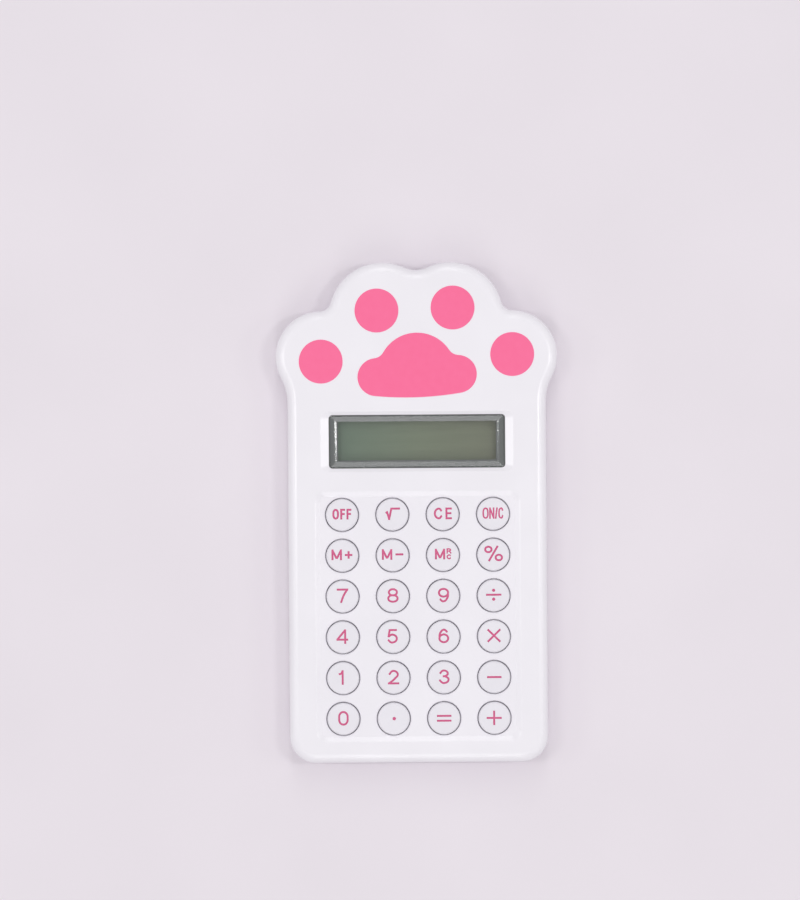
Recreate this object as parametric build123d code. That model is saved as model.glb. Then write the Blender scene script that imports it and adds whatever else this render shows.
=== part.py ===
"""A pocket calculator in the shape of a cat's paw, as its separate pieces, in millimetres.

It lies on its back: +Z points out of the face, +Y to the toes, and the origin is the middle of the back.
"""

import os
from math import atan2, degrees, sqrt

from build123d import *

# Keys, in rows from the toes down
KEY_NAMES = [
    ["off", "root", "ce", "on"],
    ["m_plus", "m_minus", "m_recall", "percent"],
    ["7", "8", "9", "divide"],
    ["4", "5", "6", "multiply"],
    ["1", "2", "3", "minus"],
    ["0", "point", "equals", "plus"],
]
KEY_DIAMETER = 7.55
KEY_SPACE_X = 4.31
KEY_SPACE_Y = 2.06
KEY_HOLE_GAP = 0.24
KEY_EDGE_ROUND = 0.45
KEY_CROWN = 0.12
KEY_PROUD = 1.0
KEY_TRAVEL = 0.9
KEY_FLOAT = 0.1
KEY_WALL = 1.1
KEY_STEM_DIAMETER = 2.8
KEY_STEM_DROP = 0.75
KEY_SEAT_GAP = 0.05
KEY_FLANGE_GAP_X = 0.28
KEY_FLANGE_GAP_Y = 0.4
KEY_FLANGE_THICKNESS = 0.8
KEY_FLANGE_CORNER = 1.5
KEY_HOLE_CHAMFER = 0.12
GUIDE_RIB_WIDTH = 0.5
GUIDE_RIB_OVERLAP = 0.5

# Keypad recess
KEYPAD_MARGIN_X = 1.355
KEYPAD_MARGIN_Y = 0.475
RECESS_DEPTH = 0.45
RECESS_SLOPE = 1.2
RECESS_CORNER = 1.3
RECESS_RIM_ROUND = 1.2
RECESS_FLOOR_THICKNESS = 1.1

# Display
WINDOW_X = 41.6
WINDOW_Y = 12.6
WINDOW_CORNER = 0.9
WINDOW_TO_KEYPAD = 5.475
FUNNEL_X = 1.9
FUNNEL_Y = 0.8
FUNNEL_DEPTH = 0.5
BEZEL_FIT = 0.1
BEZEL_RIM = 0.2
BEZEL_BELOW_FUNNEL = 0.05
BEZEL_LEDGE = 0.6
BEZEL_SLOPE_X = 1.0
BEZEL_SLOPE_Y = 0.6
BEZEL_FLANGE_THICKNESS = 0.8
BEZEL_FLANGE_GAP = 0.05
LENS_FIT = 0.05
LENS_SHOULDER_DROP = 0.05
LENS_BEVEL_X = 1.25
LENS_BEVEL_Y = 1.0
LENS_BEVEL_DEPTH = 0.4
LENS_CROWN_ROUND = 4.0
GLASS_THICKNESS = 0.5
GLASS_BORDER = 1.7
GLASS_LEDGE = 2.4
GLASS_FIT = 0.2
FILM_THICKNESS = 0.15
FILM_BORDER = 0.6
DISPLAY_RIB = 0.8
DISPLAY_RIB_BELOW_GLASS = 0.4
ZEBRA_WIDTH = 1.8
ZEBRA_END_GAP = 2.0
FOAM_WIDTH = 3.0

# Case
BOTTOM_MARGIN = 5.025
SIDE_MARGIN = 6.38
CORNER_RADIUS = 6.2
UPPER_LOBE_RADIUS = 12.6
UPPER_LOBE_X = 8.0
UPPER_LOBE_RISE = 23.35
SIDE_LOBE_RADIUS = 10.7
SIDE_LOBE_INSET = 7.93
SIDE_LOBE_RISE = 13.85
DIP_RADIUS = 6.0
NOTCH_RADIUS = 2.7
WAIST_RADIUS = 13.0
FRONT_EDGE_ROUND = 2.2
BACK_EDGE_ROUND = 1.4
SIDE_WALL = 1.6
BACK_WALL = 1.6
SEAM_HEIGHT = 4.2
SEAM_CHAMFER = 0.25
LIP_HEIGHT = 1.0
LIP_THICKNESS = 0.7
LIP_GAP = 0.1

# Paw print: toes on the lobes of the case, palm above the window
PRINT_THICKNESS = 0.06
PRINT_TILT = 1.85
PRINT_PIVOT_RISE = 13.9
TOE_DIAMETER = 10.33
OUTER_TOE_DROP = 0.49
INNER_TOE_OUT = 0.97
INNER_TOE_LIFT = 1.51
PALM_RISE = 4.08
PALM_BELLY = 0.63
PALM_LOBE_RADIUS = 4.47
PALM_LOBE_X = 9.58
PALM_BUMP_RADIUS = 9.13
PALM_BUMP_LIFT = 0.97
PALM_NOTCH_RADIUS = 2.78

# Circuit board and key mat
BOARD_ABOVE_CELL = 0.15
BOARD_THICKNESS = 1.0
BOARD_GAP = 1.5
BOARD_TOP_MARGIN = 1.5
BOARD_BOSS_GAP = 0.4
TONGUE_WIDTH = 26.0
TONGUE_ABOVE_CELL = 12.5
DOME_TOP_DIAMETER = 4.6
DOME_BASE_DIAMETER = 7.2
DOME_WALL = 0.7
DOME_ROOF = 0.35
MAT_THICKNESS = 0.5
MAT_MARGIN = 1.0
MAT_COLUMN_GAP = 0.2
PILL_GAP = 0.1
PILL_THICKNESS = 0.2
CONTACT_GAP = 0.5
CONTACT_THICKNESS = 0.05
POST_DIAMETER = 3.0
POST_GAP = 0.05
CHIP_DIAMETER = 9.0
CHIP_HEIGHT = 1.2
CAPACITOR_SIZE = (3.2, 1.6, 1.2)
CAPACITOR_FROM_CHIP = 9.0
RESISTOR_SIZE = (2.0, 1.25, 0.55)
RESISTOR_FROM_CHIP = 8.0

# Button cell and its contacts
CELL_DIAMETER = 11.6
CELL_HEIGHT = 3.05
CELL_CAP_DIAMETER = 9.6
CELL_CAP_HEIGHT = 0.3
CELL_FLOAT = 0.05
CELL_RISE = 12.95
CELL_FIT = 0.3
WELL_WALL = 1.1
WELL_BELOW_BOARD = 0.4
WELL_GAP_WIDTH = 6.0
CONTACT_SHEET = 0.2
CONTACT_WIDTH = 3.5
BOARD_HOLE_DIAMETER = 9.6
CONTACT_OVERLAP = 2.2
DIMPLE_TOP_DIAMETER = 3.0
DIMPLE_TIP_DIAMETER = 1.2
DIMPLE_GAP = 0.03
POSITIVE_TAB_RISE = 0.3
POSITIVE_FOOT_LENGTH = 4.0

# Battery door
DOOR_SIDE_MARGIN = 0.5
DOOR_END_MARGIN = 3.7
DOOR_THICKNESS = 0.8
DOOR_CORNER = 1.5
DOOR_FIT = 0.2
DOOR_SINK = 0.05
DOOR_TRAVEL = 4.0
HOOK_WELL_GAP = 0.8
HOOK_COVER = 0.4
HOOK_LEG = 0.8
HOOK_LENGTH = 3.0
HOOK_REACH = 1.0
HOOK_THICKNESS = 0.6
HOOK_GAP = 0.1
HOOK_FIT = 0.2
GRIP_GROOVES = 4
GRIP_PITCH = 1.4
GRIP_WIDTH = 0.6
GRIP_DEPTH = 0.3
GRIP_LENGTH = 10.0
GRIP_FROM_END = 2.4

# Screws
BOSS_WALL_GAP = 0.4
CASE_SCREW_BELOW_KEYS = 13.5
CASE_SCREW_HEAD_DIAMETER = 3.8
CASE_SCREW_HEAD_HEIGHT = 1.2
CASE_SCREW_DIAMETER = 1.9
CASE_SCREW_SINK = 0.6
BOARD_SCREW_EDGE = 1.9
BOARD_SCREW_BELOW_KEYS = 35.5
BOARD_SCREW_ABOVE_KEYS = 6.0
BOARD_SCREW_HEAD_DIAMETER = 3.2
BOARD_SCREW_HEAD_HEIGHT = 0.9
BOARD_SCREW_DIAMETER = 1.6
TONGUE_SCREW_EDGE = 2.8
SCREW_THREAD_GAP = 0.05
SCREW_HOLE_GAP = 0.2
SCREW_HEAD_GAP = 0.2
SCREW_TIP_GAP = 0.3
SCREW_ROOF = 0.6
CROSS_WIDTH = 0.5
CROSS_SPAN = 0.6
CROSS_DEPTH = 0.5
CASE_BOSS_DIAMETER = 4.4
CASE_BOSS_GAP = 0.05
COLUMN_DIAMETER = 5.8
BOARD_BOSS_DIAMETER = 3.4

# Heights, from the back up
CELL_FOOT = DOOR_SINK + DOOR_THICKNESS + CELL_FLOAT
CELL_TOP = CELL_FOOT + CELL_HEIGHT
BOARD_UNDERSIDE = CELL_TOP + BOARD_ABOVE_CELL
BOARD_TOP = BOARD_UNDERSIDE + BOARD_THICKNESS
PILL_FOOT = BOARD_TOP + CONTACT_THICKNESS + KEY_TRAVEL
PILL_TOP = PILL_FOOT + PILL_THICKNESS
DOME_TOP = PILL_TOP + DOME_ROOF
STEM_FOOT = DOME_TOP + KEY_SEAT_GAP
FLANGE_FOOT = STEM_FOOT + KEY_STEM_DROP
FLANGE_TOP = FLANGE_FOOT + KEY_FLANGE_THICKNESS
CEILING = FLANGE_TOP + KEY_FLOAT
RECESS_FLOOR = CEILING + RECESS_FLOOR_THICKNESS
FACE = RECESS_FLOOR + RECESS_DEPTH
KEY_TOP = RECESS_FLOOR + KEY_PROUD
BEZEL_TOP = FACE - FUNNEL_DEPTH - BEZEL_BELOW_FUNNEL
BEZEL_FLANGE_TOP = CEILING - BEZEL_FLANGE_GAP
GLASS_STACK_TOP = BEZEL_FLANGE_TOP - BEZEL_FLANGE_THICKNESS
FRONT_GLASS_TOP = GLASS_STACK_TOP - FILM_THICKNESS
REAR_GLASS_TOP = FRONT_GLASS_TOP - GLASS_THICKNESS
REFLECTOR_TOP = REAR_GLASS_TOP - GLASS_THICKNESS
REFLECTOR_FOOT = REFLECTOR_TOP - FILM_THICKNESS
DOOR_POCKET = DOOR_SINK + DOOR_THICKNESS + DOOR_SINK
SCREW_TIP = CEILING - SCREW_ROOF
CASE_SCREW_SEAT = CASE_SCREW_SINK + CASE_SCREW_HEAD_HEIGHT

# Widths and lengths, worked out from the keys, the window and the paw
ROWS = len(KEY_NAMES)
COLUMNS = len(KEY_NAMES[0])
KEY_PITCH_X = KEY_DIAMETER + KEY_SPACE_X
KEY_PITCH_Y = KEY_DIAMETER + KEY_SPACE_Y
KEY_BLOCK_X = (COLUMNS - 1) * KEY_PITCH_X
KEY_BLOCK_Y = (ROWS - 1) * KEY_PITCH_Y
KEY_HOLE_RADIUS = KEY_DIAMETER / 2 + KEY_HOLE_GAP
FLANGE_X = KEY_PITCH_X - GUIDE_RIB_WIDTH - 2 * KEY_FLANGE_GAP_X
FLANGE_Y = KEY_PITCH_Y - 2 * KEY_FLANGE_GAP_Y
RECESS_X = KEY_BLOCK_X + KEY_DIAMETER + 2 * KEYPAD_MARGIN_X
RECESS_Y = KEY_BLOCK_Y + KEY_DIAMETER + 2 * KEYPAD_MARGIN_Y
RIM_X = RECESS_X + 2 * RECESS_SLOPE
RIM_Y = RECESS_Y + 2 * RECESS_SLOPE
HALF_WIDTH = RIM_X / 2 + SIDE_MARGIN
WINDOW_TOP_FROM_BASE = BOTTOM_MARGIN + RIM_Y + WINDOW_TO_KEYPAD + WINDOW_Y
LENGTH = WINDOW_TOP_FROM_BASE + UPPER_LOBE_RISE + UPPER_LOBE_RADIUS
BASE_Y = -LENGTH / 2
KEYPAD_Y = BASE_Y + BOTTOM_MARGIN + RIM_Y / 2
TOP_ROW_Y = KEYPAD_Y + KEY_BLOCK_Y / 2
WINDOW_TOP_Y = BASE_Y + WINDOW_TOP_FROM_BASE
WINDOW_MID_Y = WINDOW_TOP_Y - WINDOW_Y / 2
CELL_Y = WINDOW_TOP_Y + CELL_RISE
BEZEL_X = WINDOW_X - 2 * BEZEL_FIT
BEZEL_Y = WINDOW_Y - 2 * BEZEL_FIT
POCKET_X = BEZEL_X - 2 * BEZEL_RIM
POCKET_Y = BEZEL_Y - 2 * BEZEL_RIM
GLASS_X = WINDOW_X + 2 * GLASS_BORDER
REAR_GLASS_Y = WINDOW_Y + 2 * GLASS_BORDER
FRONT_GLASS_Y = REAR_GLASS_Y + GLASS_LEDGE
FRONT_GLASS_MID_Y = WINDOW_MID_Y + GLASS_LEDGE / 2
HOLLOW_BASE = DOME_BASE_DIAMETER - 2 * DOME_WALL
HOLLOW_TOP = DOME_TOP_DIAMETER - 2 * DOME_WALL
LIP_INSET = SIDE_WALL - LIP_THICKNESS
BOARD_SIDE = HALF_WIDTH - SIDE_WALL - BOARD_GAP
SCREW_INSET = SIDE_WALL + BOSS_WALL_GAP + CASE_BOSS_DIAMETER / 2
SCREW_X = HALF_WIDTH - SCREW_INSET
HOOK_X = CELL_DIAMETER / 2 + CELL_FIT + WELL_WALL + HOOK_WELL_GAP + HOOK_LEG / 2
DOOR_WIDTH = 2 * (HOOK_X + HOOK_LEG / 2 + HOOK_FIT + HOOK_REACH + DOOR_SIDE_MARGIN)
DOOR_LENGTH = CELL_DIAMETER + 2 * DOOR_END_MARGIN

# Centres of the arcs that make the paw
UPPER_LOBE = Vector(UPPER_LOBE_X, WINDOW_TOP_Y + UPPER_LOBE_RISE)
SIDE_LOBE = Vector(HALF_WIDTH - SIDE_LOBE_INSET, WINDOW_TOP_Y + SIDE_LOBE_RISE)
CORNER = Vector(HALF_WIDTH - CORNER_RADIUS, BASE_Y + CORNER_RADIUS)


def mirrored(point):
    """The same point on the other side of the middle line."""
    return Vector(-point.X, point.Y)


def hollow_centre(first, first_radius, second, second_radius, radius):
    """Centre of the hollow that joins two circles, on the left of the way from first to second."""
    reach = first_radius + radius
    way = second - first
    along = (way.length**2 + reach**2 - (second_radius + radius) ** 2) / (2 * way.length)
    side = sqrt(reach**2 - along**2)
    forward = way.normalized()
    return first + forward * along + Vector(-forward.Y, forward.X) * side


DIP = hollow_centre(mirrored(UPPER_LOBE), UPPER_LOBE_RADIUS, UPPER_LOBE, UPPER_LOBE_RADIUS, DIP_RADIUS)
NOTCH = hollow_centre(UPPER_LOBE, UPPER_LOBE_RADIUS, SIDE_LOBE, SIDE_LOBE_RADIUS, NOTCH_RADIUS)
WAIST_X = HALF_WIDTH + WAIST_RADIUS
WAIST_DROP = sqrt((SIDE_LOBE_RADIUS + WAIST_RADIUS) ** 2 - (WAIST_X - SIDE_LOBE.X) ** 2)
WAIST = Vector(WAIST_X, SIDE_LOBE.Y - WAIST_DROP)


def toward(centre, radius, target):
    """The point of a circle that faces the target."""
    return centre + (target - centre).normalized() * radius


def short_arc(centre, start, end):
    """The shorter arc about a centre from start to end."""
    radius = (start - centre).length
    return ThreePointArc(start, toward(centre, radius, (start + end) / 2), end)


def closed_face(right_side, crown, base):
    """A face from the edges of its right side, their mirror image, and the two edges on the middle line."""
    left_side = [mirror(edge, Plane.YZ) for edge in right_side]
    return make_face([*right_side, *left_side, crown, base])


def case_outline(inset):
    """The paw's outline, drawn in by an even distance."""
    upper_radius = UPPER_LOBE_RADIUS - inset
    side_radius = SIDE_LOBE_RADIUS - inset
    dip_end = toward(UPPER_LOBE, upper_radius, DIP)
    notch_start = toward(UPPER_LOBE, upper_radius, NOTCH)
    notch_end = toward(SIDE_LOBE, side_radius, NOTCH)
    waist_start = toward(SIDE_LOBE, side_radius, WAIST)
    waist_end = Vector(HALF_WIDTH - inset, WAIST.Y)
    corner_start = Vector(HALF_WIDTH - inset, CORNER.Y)
    corner_end = Vector(CORNER.X, BASE_Y + inset)
    right_side = [
        short_arc(UPPER_LOBE, dip_end, notch_start),
        short_arc(NOTCH, notch_start, notch_end),
        short_arc(SIDE_LOBE, notch_end, waist_start),
        short_arc(WAIST, waist_start, waist_end),
        Line(waist_end, corner_start),
        short_arc(CORNER, corner_start, corner_end),
    ]
    crown = short_arc(DIP, mirrored(dip_end), dip_end)
    base = Line(mirrored(corner_end), corner_end)
    return closed_face(right_side, crown, base)


def slab(sketch, foot, top):
    """A flat shape raised from one height to another."""
    return extrude(Pos(0, 0, foot) * sketch, top - foot)


def rod(place, diameter, foot, top):
    """An upright cylinder."""
    return slab(Pos(place[0], place[1]) * Circle(diameter / 2), foot, top)


def block(x_range, y_range, z_range):
    """A box between two corners, given as a range along each axis."""
    size = [high - low for low, high in (x_range, y_range, z_range)]
    low_corner = Pos(x_range[0], y_range[0], z_range[0])
    return low_corner * Box(*size, align=(Align.MIN, Align.MIN, Align.MIN))


def funnel(place, foot_sketch, foot, top_sketch, top):
    """A straight-sided flare from one flat shape to another."""
    lower = Pos(place[0], place[1], foot) * foot_sketch
    upper = Pos(place[0], place[1], top) * top_sketch
    return loft([lower.face(), upper.face()], ruled=True)


def both_sides(x, y):
    """A pair of places left and right of the middle line."""
    return [(-x, y), (x, y)]


def key_places():
    """Each key's name and place."""
    places = {}
    for row, names in enumerate(KEY_NAMES):
        for column, name in enumerate(names):
            x = column * KEY_PITCH_X - KEY_BLOCK_X / 2
            y = TOP_ROW_Y - row * KEY_PITCH_Y
            places[name] = (x, y)
    return places


KEYS = key_places()
CORNER_REACH = (CORNER_RADIUS - SCREW_INSET) / sqrt(2)
CASE_SCREW_PLACES = [
    *both_sides(CORNER.X + CORNER_REACH, CORNER.Y - CORNER_REACH),
    *both_sides(SCREW_X, TOP_ROW_Y - CASE_SCREW_BELOW_KEYS),
    *both_sides(SIDE_LOBE.X, SIDE_LOBE.Y),
]
TONGUE_TOP_Y = CELL_Y + TONGUE_ABOVE_CELL
BOARD_SCREW_PLACES = [
    *both_sides(BOARD_SIDE - BOARD_SCREW_EDGE, TOP_ROW_Y - BOARD_SCREW_BELOW_KEYS),
    *both_sides(BOARD_SIDE - BOARD_SCREW_EDGE, TOP_ROW_Y + BOARD_SCREW_ABOVE_KEYS),
    *both_sides(TONGUE_WIDTH / 2 - TONGUE_SCREW_EDGE, TONGUE_TOP_Y - TONGUE_SCREW_EDGE),
]


def guide_rib_xs():
    """Middles of the ribs that run beside the columns of keys and keep their flanges square."""
    first = -KEY_BLOCK_X / 2 - KEY_PITCH_X / 2
    return [first + column * KEY_PITCH_X for column in range(COLUMNS + 1)]


def front_shell():
    """The hollow front shell, with the rebate that takes the back's lip."""
    shell = slab(case_outline(0), SEAM_HEIGHT, FACE)
    shell = fillet(shell.faces().sort_by(Axis.Z)[-1].edges(), FRONT_EDGE_ROUND)
    shell = chamfer(shell.faces().sort_by(Axis.Z)[0].edges(), SEAM_CHAMFER)
    shell -= slab(case_outline(SIDE_WALL), SEAM_HEIGHT, CEILING)
    rebate_top = SEAM_HEIGHT + LIP_HEIGHT + LIP_GAP
    return shell - slab(case_outline(LIP_INSET - LIP_GAP), SEAM_HEIGHT, rebate_top)


def front_ribs():
    """What hangs under the front's ceiling: screw bosses, key guides and the frame round the glass."""
    boss_foot = SEAM_HEIGHT + CASE_BOSS_GAP
    ribs = [rod(place, CASE_BOSS_DIAMETER, boss_foot, CEILING) for place in CASE_SCREW_PLACES]
    ribs += [rod(place, BOARD_BOSS_DIAMETER, BOARD_TOP, CEILING) for place in BOARD_SCREW_PLACES]
    rib_foot = FLANGE_TOP - KEY_TRAVEL - GUIDE_RIB_OVERLAP
    rib_end = KEY_BLOCK_Y / 2 + FLANGE_Y / 2
    for x in guide_rib_xs():
        x_range = (x - GUIDE_RIB_WIDTH / 2, x + GUIDE_RIB_WIDTH / 2)
        ribs.append(block(x_range, (KEYPAD_Y - rib_end, KEYPAD_Y + rib_end), (rib_foot, CEILING)))
    inner = Rectangle(GLASS_X + 2 * GLASS_FIT, FRONT_GLASS_Y + 2 * GLASS_FIT)
    around = 2 * (GLASS_FIT + DISPLAY_RIB)
    outer = Rectangle(GLASS_X + around, FRONT_GLASS_Y + around)
    frame = Pos(0, FRONT_GLASS_MID_Y) * (outer - inner)
    ribs.append(slab(frame, REAR_GLASS_TOP - DISPLAY_RIB_BELOW_GLASS, CEILING))
    return ribs


def keypad_recess():
    """The sunken floor around the keys, with sloping sides."""
    floor = Pos(0, KEYPAD_Y, RECESS_FLOOR) * RectangleRounded(RECESS_X, RECESS_Y, RECESS_CORNER)
    return extrude(floor, RECESS_DEPTH, taper=-degrees(atan2(RECESS_SLOPE, RECESS_DEPTH)))


def display_window():
    """The window through the front, with a shallow flare at the face."""
    opening = RectangleRounded(WINDOW_X, WINDOW_Y, WINDOW_CORNER)
    flare = RectangleRounded(
        WINDOW_X + 2 * FUNNEL_X, WINDOW_Y + 2 * FUNNEL_Y, WINDOW_CORNER + FUNNEL_Y
    )
    middle = (0, WINDOW_MID_Y)
    hole = slab(Pos(*middle) * opening, CEILING, FACE)
    return hole + funnel(middle, opening, FACE - FUNNEL_DEPTH, flare, FACE)


def front_case():
    """The white front shell."""
    case = front_shell() + front_ribs()
    case -= keypad_recess()
    rim_face = case.faces().filter_by(Plane.XY).sort_by(Axis.Z)[-1]
    case = fillet(rim_face.inner_wires()[0].edges(), RECESS_RIM_ROUND)
    case -= display_window()
    case -= [rod(place, 2 * KEY_HOLE_RADIUS, CEILING, FACE) for place in KEYS.values()]
    hole_edges = case.edges().filter_by(GeomType.CIRCLE).filter_by(
        lambda edge: abs(edge.center().Z - RECESS_FLOOR) < KEY_HOLE_CHAMFER
        and abs(edge.radius - KEY_HOLE_RADIUS) < KEY_HOLE_CHAMFER
    )
    case = chamfer(hole_edges, KEY_HOLE_CHAMFER)
    case_pilot = CASE_SCREW_DIAMETER + 2 * SCREW_THREAD_GAP
    board_pilot = BOARD_SCREW_DIAMETER + 2 * SCREW_THREAD_GAP
    pilot_top = SCREW_TIP + SCREW_TIP_GAP
    case -= [rod(place, case_pilot, SEAM_HEIGHT, pilot_top) for place in CASE_SCREW_PLACES]
    return case - [rod(place, board_pilot, BOARD_TOP, pilot_top) for place in BOARD_SCREW_PLACES]


def hook_places():
    """Middles of the battery door's hooks, set so that the shut door covers their slots."""
    from_end = HOOK_COVER + HOOK_FIT + HOOK_LENGTH / 2
    low = CELL_Y - DOOR_LENGTH / 2 + DOOR_TRAVEL + from_end
    high = CELL_Y + DOOR_LENGTH / 2 - from_end
    return [(x, y) for x in (-HOOK_X, HOOK_X) for y in (low, high)]


def outward(x, inner, outer):
    """A range along X from inner to outer, measured away from the middle line on x's side."""
    return (inner, outer) if x > 0 else (-outer, -inner)


def door_hook(place):
    """An L-shaped hook on the door's inner face."""
    x, y = place
    inner = HOOK_X - HOOK_LEG / 2
    leg_outer = HOOK_X + HOOK_LEG / 2
    y_range = (y - HOOK_LENGTH / 2, y + HOOK_LENGTH / 2)
    door_top = DOOR_SINK + DOOR_THICKNESS
    hook_foot = BACK_WALL + HOOK_GAP
    hook_top = hook_foot + HOOK_THICKNESS
    leg = block(outward(x, inner, leg_outer), y_range, (door_top, hook_top))
    return leg + block(outward(x, inner, leg_outer + HOOK_REACH), y_range, (hook_foot, hook_top))


def hook_slot(place):
    """The slot for a hook: narrow where the door is shut, wide where it lifts off."""
    x, y = place
    inner = HOOK_X - HOOK_LEG / 2 - HOOK_FIT
    narrow = HOOK_X + HOOK_LEG / 2 + HOOK_FIT
    half = HOOK_LENGTH / 2 + HOOK_FIT
    height = (0, BACK_WALL)
    slot = block(outward(x, inner, narrow), (y - DOOR_TRAVEL - half, y + half), height)
    open_range = (y - DOOR_TRAVEL - half, y - DOOR_TRAVEL + half)
    return slot + block(outward(x, inner, narrow + HOOK_REACH), open_range, height)


def battery_door():
    """The sliding door under the cell, with hooks inside and finger grooves outside."""
    plate = Pos(0, CELL_Y) * RectangleRounded(DOOR_WIDTH, DOOR_LENGTH, DOOR_CORNER)
    door = slab(plate, DOOR_SINK, DOOR_SINK + DOOR_THICKNESS)
    door += [door_hook(place) for place in hook_places()]
    first = CELL_Y - DOOR_LENGTH / 2 + GRIP_FROM_END
    for groove in range(GRIP_GROOVES):
        y = first + groove * GRIP_PITCH
        y_range = (y - GRIP_WIDTH / 2, y + GRIP_WIDTH / 2)
        door -= block((-GRIP_LENGTH / 2, GRIP_LENGTH / 2), y_range, (0, DOOR_SINK + GRIP_DEPTH))
    return door


def door_pocket():
    """The sunken bed of the battery door, long enough for it to slide."""
    length = DOOR_LENGTH + DOOR_TRAVEL + 2 * DOOR_FIT
    bed = RectangleRounded(DOOR_WIDTH + 2 * DOOR_FIT, length, DOOR_CORNER + DOOR_FIT)
    return slab(Pos(0, CELL_Y - DOOR_TRAVEL / 2) * bed, 0, DOOR_POCKET)


def cell_well():
    """The ring wall round the cell, with a gap for the positive contact."""
    inside = CELL_DIAMETER + 2 * CELL_FIT
    wall_top = BOARD_UNDERSIDE - WELL_BELOW_BOARD
    ring = rod((0, CELL_Y), inside + 2 * WELL_WALL, BACK_WALL, wall_top)
    ring -= rod((0, CELL_Y), inside, BACK_WALL, wall_top)
    half_gap = WELL_GAP_WIDTH / 2
    return ring - block((-half_gap, half_gap), (CELL_Y - CELL_DIAMETER, CELL_Y), (BACK_WALL, wall_top))


def board_posts():
    """Posts under the board, between the keys, that take the push of a finger."""
    top = BOARD_UNDERSIDE - POST_GAP
    rows = (KEYPAD_Y - KEY_PITCH_Y, KEYPAD_Y + KEY_PITCH_Y)
    places = [place for y in rows for place in both_sides(KEY_PITCH_X, y)]
    return [rod(place, POST_DIAMETER, BACK_WALL, top) for place in places]


def back_shell():
    """The hollow back shell with its raised lip."""
    shell = slab(case_outline(0), 0, SEAM_HEIGHT)
    shell = fillet(shell.faces().sort_by(Axis.Z)[0].edges(), BACK_EDGE_ROUND)
    shell = chamfer(shell.faces().sort_by(Axis.Z)[-1].edges(), SEAM_CHAMFER)
    shell += slab(case_outline(LIP_INSET), SEAM_HEIGHT, SEAM_HEIGHT + LIP_HEIGHT)
    return shell - slab(case_outline(SIDE_WALL), BACK_WALL, SEAM_HEIGHT + LIP_HEIGHT)


def back_case():
    """The white back shell."""
    case = back_shell()
    case += [rod(place, COLUMN_DIAMETER, 0, SEAM_HEIGHT) for place in CASE_SCREW_PLACES]
    case += board_posts()
    case += cell_well()
    head_hole = CASE_SCREW_HEAD_DIAMETER + 2 * SCREW_HEAD_GAP
    shank_hole = CASE_SCREW_DIAMETER + 2 * SCREW_HOLE_GAP
    case -= [rod(place, head_hole, 0, CASE_SCREW_SEAT) for place in CASE_SCREW_PLACES]
    case -= [rod(place, shank_hole, 0, SEAM_HEIGHT) for place in CASE_SCREW_PLACES]
    case -= door_pocket()
    case -= rod((0, CELL_Y), CELL_DIAMETER + 2 * CELL_FIT, 0, BACK_WALL)
    return case - [hook_slot(place) for place in hook_places()]


def palm_outline():
    """The palm of the print: a wide bump between two small lobes, on a base that bows down."""
    foot = WINDOW_TOP_Y + PALM_RISE
    lobe = Vector(PALM_LOBE_X, foot + PALM_BELLY + PALM_LOBE_RADIUS)
    belly_radius = (PALM_LOBE_X**2 + (lobe.Y - foot) ** 2 - PALM_LOBE_RADIUS**2) / (2 * PALM_BELLY)
    belly = Vector(0, foot + belly_radius)
    bump = Vector(0, lobe.Y + PALM_BUMP_LIFT)
    notch = hollow_centre(bump, PALM_BUMP_RADIUS, lobe, PALM_LOBE_RADIUS, PALM_NOTCH_RADIUS)
    notch_start = toward(bump, PALM_BUMP_RADIUS, notch)
    notch_end = toward(lobe, PALM_LOBE_RADIUS, notch)
    lobe_side = lobe + Vector(PALM_LOBE_RADIUS, 0)
    lobe_foot = toward(belly, belly_radius, lobe)
    right_side = [
        short_arc(notch, notch_start, notch_end),
        short_arc(lobe, notch_end, lobe_side),
        short_arc(lobe, lobe_side, lobe_foot),
    ]
    crown = short_arc(bump, mirrored(notch_start), notch_start)
    base = short_arc(belly, mirrored(lobe_foot), lobe_foot)
    return closed_face(right_side, crown, base)


def paw_print():
    """The printed paw, a thin film of ink that sits a little askew on the face."""
    toes = [
        *both_sides(SIDE_LOBE.X, SIDE_LOBE.Y - OUTER_TOE_DROP),
        *both_sides(UPPER_LOBE.X + INNER_TOE_OUT, UPPER_LOBE.Y + INNER_TOE_LIFT),
    ]
    pivot = Axis((0, WINDOW_TOP_Y + PRINT_PIVOT_RISE, 0), (0, 0, 1))
    spots = [rod(toe, TOE_DIAMETER, FACE, FACE + PRINT_THICKNESS) for toe in toes]
    spots.append(slab(palm_outline(), FACE, FACE + PRINT_THICKNESS))
    return Compound([spot.rotate(pivot, PRINT_TILT).solid() for spot in spots])


def cap_ball_radius(base_radius, height):
    """Radius of the ball that a shallow round crown is cut from."""
    return (base_radius**2 + height**2) / (2 * height)


def key_cap(place):
    """One key: a hollow crowned cap, a flange that keeps it in, and a stem down to its dome."""
    ball_radius = cap_ball_radius(KEY_DIAMETER / 2, KEY_CROWN)
    cap = slab(Circle(KEY_DIAMETER / 2), FLANGE_FOOT, KEY_TOP)
    cap &= Pos(0, 0, KEY_TOP - ball_radius) * Sphere(ball_radius)
    cap = fillet(cap.faces().sort_by(Axis.Z)[-1].edges(), KEY_EDGE_ROUND)
    cap += slab(RectangleRounded(FLANGE_X, FLANGE_Y, KEY_FLANGE_CORNER), FLANGE_FOOT, FLANGE_TOP)
    cavity_top = KEY_TOP - KEY_WALL
    cap -= rod((0, 0), KEY_DIAMETER - 2 * KEY_WALL, FLANGE_FOOT, cavity_top)
    cap += rod((0, 0), KEY_STEM_DIAMETER, STEM_FOOT, cavity_top)
    return Pos(*place) * cap


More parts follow.
